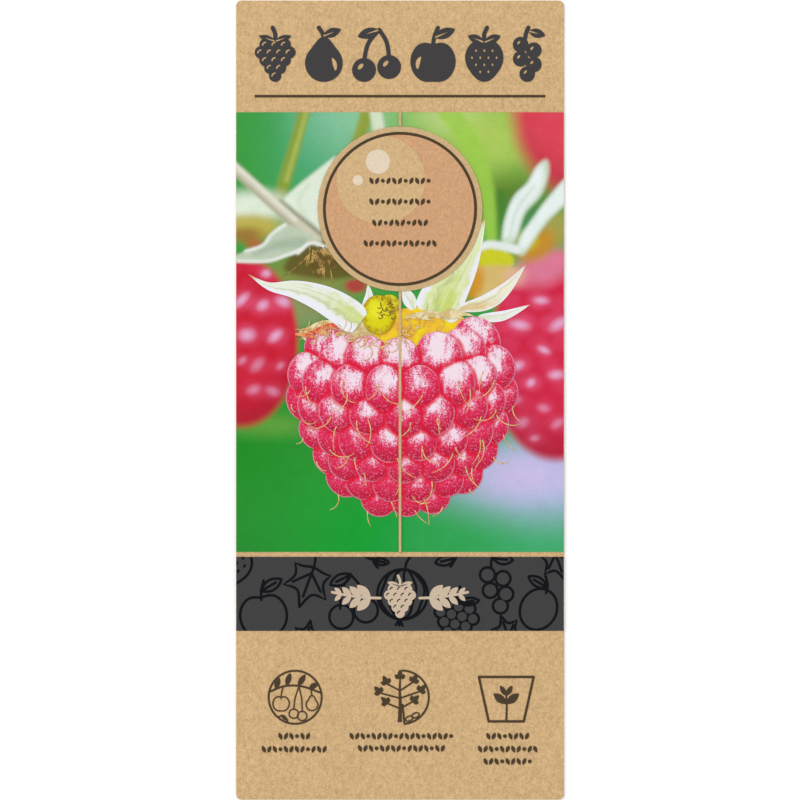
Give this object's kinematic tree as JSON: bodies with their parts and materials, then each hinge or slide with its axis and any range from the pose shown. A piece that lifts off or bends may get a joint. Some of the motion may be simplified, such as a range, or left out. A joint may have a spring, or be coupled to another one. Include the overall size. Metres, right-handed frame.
{
  "type": "printed plant label for a raspberry",
  "caption": "Long kraft card plant label with rounded corners, printed with a raspberry picture, a round badge, a dark band and small icons.",
  "frame": {"origin": "centre of the card's underside", "axes": "+X across the card to the reader's right, +Y along it towards the header, +Z out of the printed face"},
  "size_m": [0.07, 0.1706, 0.0009],
  "materials": {
    "kraft_card": "matt kraft board with a fine mottled grain",
    "kraft_print": "matt kraft-coloured print",
    "picture_print": "satin full-colour print, green out-of-focus garden",
    "band_print": "matt dark grey print",
    "band_lines": "matt black line print",
    "ink": "matt dark grey ink",
    "badge_print": "matt tan print",
    "glow_print": "matt light tan print",
    "spot_print": "matt cream print",
    "berry_print": "satin print of a ripe raspberry",
    "soft_berry_print": "satin print, out-of-focus red",
    "calyx_print": "satin print, yellow green",
    "sepal_print": "satin print, pale cream green",
    "collar_print": "satin print, orange yellow",
    "tan_print": "matt light tan print"
  },
  "bodies": {
    "root": {"card": "kraft_card", "picture_panel": "picture_print", "name_band": "band_print", "header_rule": "ink", "line_upper": "kraft_print", "line_lower": "kraft_print", "badge_disc": "kraft_print", "badge_ring": "ink", "badge_face": "badge_print", "badge_glow": "glow_print", "badge_spot_large": "spot_print", "badge_spot_small": "spot_print", "badge_row_1": "ink", "badge_row_2": "ink", "badge_row_3": "ink", "badge_row_4": "ink", "header_raspberry": "ink", "header_pear": "ink", "header_cherries": "ink", "header_apple": "ink", "header_strawberry": "ink", "header_currants": "ink", "berry_left": "berry_print", "berry_right": "berry_print", "calyx": "calyx_print", "collar": "collar_print", "sepal_1": "sepal_print", "sepal_2": "sepal_print", "sepal_3": "sepal_print", "sepal_4": "sepal_print", "sepal_5": "sepal_print", "sepal_6": "sepal_print", "back_sepal_1": "sepal_print", "back_sepal_2": "sepal_print", "back_sepal_3": "sepal_print", "back_sepal_4": "sepal_print", "back_sepal_5": "sepal_print", "soft_berry_left": "soft_berry_print", "soft_berry_right": "soft_berry_print", "soft_berry_far": "soft_berry_print", "band_apple": "band_lines", "band_lobed_leaf": "band_lines", "band_cherries": "band_lines", "band_gooseberry": "band_lines", "band_raspberry": "band_lines", "band_currants": "band_lines", "band_plum": "band_lines", "name_berry": "tan_print", "name_sprig_left": "tan_print", "name_sprig_right": "tan_print", "icon_ring": "ink", "icon_shrub": "ink", "icon_pot": "ink", "caption_left_1": "ink", "caption_left_2": "ink", "caption_middle_1": "ink", "caption_middle_2": "ink", "caption_right_1": "ink", "caption_right_2": "ink", "caption_right_3": "ink"}
  },
  "joints": []
}
